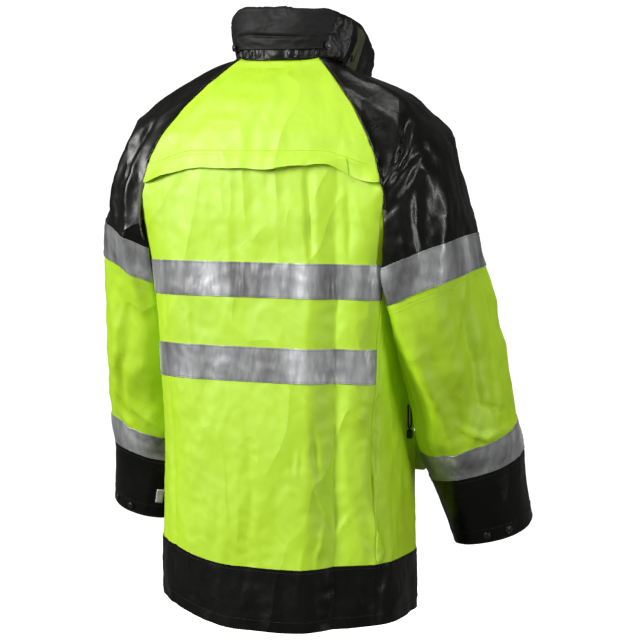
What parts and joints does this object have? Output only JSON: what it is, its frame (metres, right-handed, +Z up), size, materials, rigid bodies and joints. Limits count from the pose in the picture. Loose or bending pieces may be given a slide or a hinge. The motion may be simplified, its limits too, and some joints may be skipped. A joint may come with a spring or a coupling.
{
  "type": "turnout coat",
  "caption": "Hooded high-visibility work jacket in fluorescent lime and black, with reflective tape, raglan sleeves, a back vent flap and a stowed hood.",
  "frame": {"origin": "at the hanger loop, inside the back of the neck", "axes": "+Z up, -Y the way the wearer faces, +X the wearer's left"},
  "size_m": [0.6898, 0.3271, 0.9049],
  "materials": {
    "lime": "satin",
    "black_fabric": "semi-gloss",
    "collar_fabric": "satin",
    "reflective_tape": "satin",
    "olive_lining": "matte",
    "mesh": "matte",
    "black_plastic": "satin",
    "black_cord": "matte",
    "label": "matte"
  },
  "bodies": {
    "root": {"back_panel": "lime", "back_vent_flap": "lime", "back_vent_mesh": "mesh", "back_yoke": "lime", "body_tape_back_lower": "reflective_tape", "body_tape_back_upper": "reflective_tape", "body_tape_front_lower_left": "reflective_tape", "body_tape_front_lower_right": "reflective_tape", "body_tape_front_upper_left": "reflective_tape", "body_tape_front_upper_right": "reflective_tape", "collar": "collar_fabric", "collar_lining": "olive_lining", "collar_snap_left": "black_plastic", "collar_snap_right": "black_plastic", "cord_stop": "black_plastic", "front_panel_left": "lime", "front_panel_right": "lime", "gathered_band": "black_fabric", "hanger_loop": "black_fabric", "hem_band_back": "black_fabric", "hem_band_front_left": "black_fabric", "hem_band_front_right": "black_fabric", "hood_pocket_flap": "collar_fabric", "pocket_bag_left": "black_cord", "pocket_bag_right": "black_cord", "raglan_piping_left": "black_fabric", "raglan_piping_right": "black_fabric", "shoulder_left": "black_fabric", "shoulder_right": "black_fabric", "side_panel_left": "lime", "side_panel_right": "lime", "storm_flap_welt": "lime", "stowed_hood": "collar_fabric", "waist_drawcord": "black_cord", "zip_tape_left": "black_cord", "zip_tape_right": "black_cord", "zip_teeth": "black_plastic"},
    "forearm_left": {"cuff_label": "label", "cuff_left": "black_fabric", "cuff_snap_back_left": "black_plastic", "cuff_snap_outer_left": "black_plastic", "lower_sleeve_left": "lime", "sleeve_tape_lower_left": "reflective_tape"},
    "forearm_right": {"cuff_right": "black_fabric", "cuff_snap_back_right": "black_plastic", "cuff_snap_outer_right": "black_plastic", "lower_sleeve_right": "lime", "sleeve_tape_lower_right": "reflective_tape"},
    "upper_arm_left": {"mid_sleeve_left": "lime", "sleeve_tape_upper_left": "reflective_tape", "upper_sleeve_left": "black_fabric"},
    "upper_arm_right": {"mid_sleeve_right": "lime", "sleeve_tape_upper_right": "reflective_tape", "upper_sleeve_right": "black_fabric"},
    "pocket_flap_left": {"pocket_flap_left": "lime"},
    "pocket_flap_right": {"pocket_flap_right": "lime"},
    "storm_flap": {"storm_flap": "lime", "storm_flap_snap_strip": "black_fabric"},
    "zip_slider": {"zip_pull": "black_plastic", "zip_slider": "black_plastic"}
  },
  "joints": [
    {"name": "storm_flap_hinge", "type": "hinge", "parent": "root", "child": "storm_flap", "pos_m": [0.0364, -0.2042, -0.439], "axis": [0, 0, 1], "range_deg": [0, 105]},
    {"name": "zip_travel", "type": "slide", "parent": "root", "child": "zip_slider", "axis": [0, 0, -1], "range_m": [0, 0.67]},
    {"name": "pocket_flap_left_hinge", "type": "hinge", "parent": "root", "child": "pocket_flap_left", "pos_m": [0.12397, -0.18057, -0.547], "axis": [-0.9781, -0.2079, 0], "range_deg": [0, 120]},
    {"name": "shoulder_left_swing", "type": "hinge", "parent": "root", "child": "upper_arm_left", "pos_m": [0.2737, -0.058, -0.19663], "axis": [0, -0.9948, 0.1015], "range_deg": [0, 60]},
    {"name": "elbow_left_bend", "type": "hinge", "parent": "upper_arm_left", "child": "forearm_left", "pos_m": [0.24044, -0.19534, -0.41853], "axis": [-0.951, 0, -0.3091], "range_deg": [0, 80]},
    {"name": "pocket_flap_right_hinge", "type": "hinge", "parent": "root", "child": "pocket_flap_right", "pos_m": [-0.12397, -0.18057, -0.547], "axis": [-0.9781, 0.2079, 0], "range_deg": [0, 120]},
    {"name": "shoulder_right_swing", "type": "hinge", "parent": "root", "child": "upper_arm_right", "pos_m": [-0.2737, -0.058, -0.19663], "axis": [0, 0.9948, -0.1015], "range_deg": [0, 60]},
    {"name": "elbow_right_bend", "type": "hinge", "parent": "upper_arm_right", "child": "forearm_right", "pos_m": [-0.24044, -0.19534, -0.41853], "axis": [-0.951, 0, 0.3091], "range_deg": [0, 80]}
  ]
}
